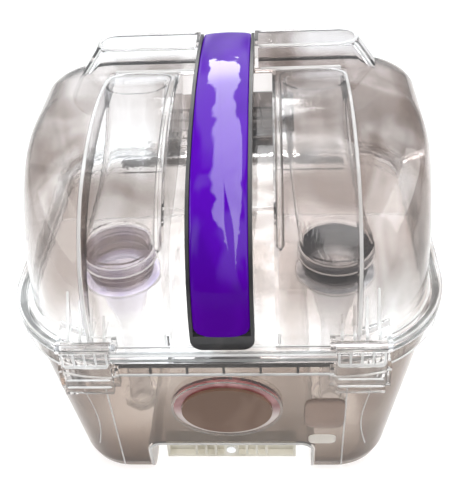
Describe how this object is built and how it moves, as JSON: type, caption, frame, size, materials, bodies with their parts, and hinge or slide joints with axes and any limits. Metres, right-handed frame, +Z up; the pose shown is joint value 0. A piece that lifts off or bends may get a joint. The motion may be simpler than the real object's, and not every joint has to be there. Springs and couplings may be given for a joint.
{
  "type": "carpet washer recovery tank",
  "caption": "Clear removable dirty-water tank of a carpet washer, with a domed hinged lid, an arched gloss carrying handle, bell-mouthed risers and corner catches.",
  "frame": {"origin": "on the floor plane under the centre of the bounding box", "axes": "+X to the tank's right seen from the front, +Y from the badge side to the hinge side, +Z up"},
  "size_m": [0.292, 0.2708, 0.2547],
  "materials": {
    "clear": "gloss",
    "tub_clear": "gloss",
    "dark_plastic": "satin",
    "violet": "gloss",
    "rubber": "matte",
    "cream": "satin",
    "badge_taupe": "gloss",
    "badge_rose": "gloss",
    "smoke": "gloss",
    "steel": "satin"
  },
  "bodies": {
    "tank": {"tank_body": "tub_clear", "tank_rim": "tub_clear", "separator_plate": "clear", "riser_right": "smoke", "riser_left": "smoke", "riser_seal_right": "rubber", "riser_seal_left": "rubber", "badge_bezel": "clear", "badge_ring": "badge_rose", "badge_plate": "badge_taupe", "ribbed_strip": "cream", "ribbed_strip_screw": "steel", "hinge_pin_right": "steel", "hinge_pin_left": "steel"},
    "lid": {"lid_shell": "clear", "rim_seal": "rubber", "duct_right": "clear", "duct_left": "clear", "float_cage": "dark_plastic", "outlet_gasket": "rubber", "handle_frame": "dark_plastic", "handle_cover": "violet", "handle_grip": "rubber", "handle_screws": "steel", "catch_pin_right": "steel", "catch_pin_left": "steel"},
    "float_valve": {"float": "dark_plastic", "float_seal": "rubber"},
    "catch_r": {"catch_right": "clear"},
    "catch_l": {"catch_left": "clear"}
  },
  "joints": [
    {"name": "lid_hinge", "type": "hinge", "parent": "tank", "child": "lid", "pos_m": [0, 0.1325, 0.1335], "axis": [-1, 0, 0], "range_deg": [0, 75]},
    {"name": "catch_right_pivot", "type": "hinge", "parent": "lid", "child": "catch_r", "pos_m": [0.0855, -0.124, 0.1425], "axis": [-1, 0, 0], "range_deg": [0, 50]},
    {"name": "catch_left_pivot", "type": "hinge", "parent": "lid", "child": "catch_l", "pos_m": [-0.0855, -0.124, 0.1425], "axis": [-1, 0, 0], "range_deg": [0, 50]},
    {"name": "float_slide", "type": "slide", "parent": "lid", "child": "float_valve", "axis": [0, 0, 1], "range_m": [0, 0.006]}
  ]
}
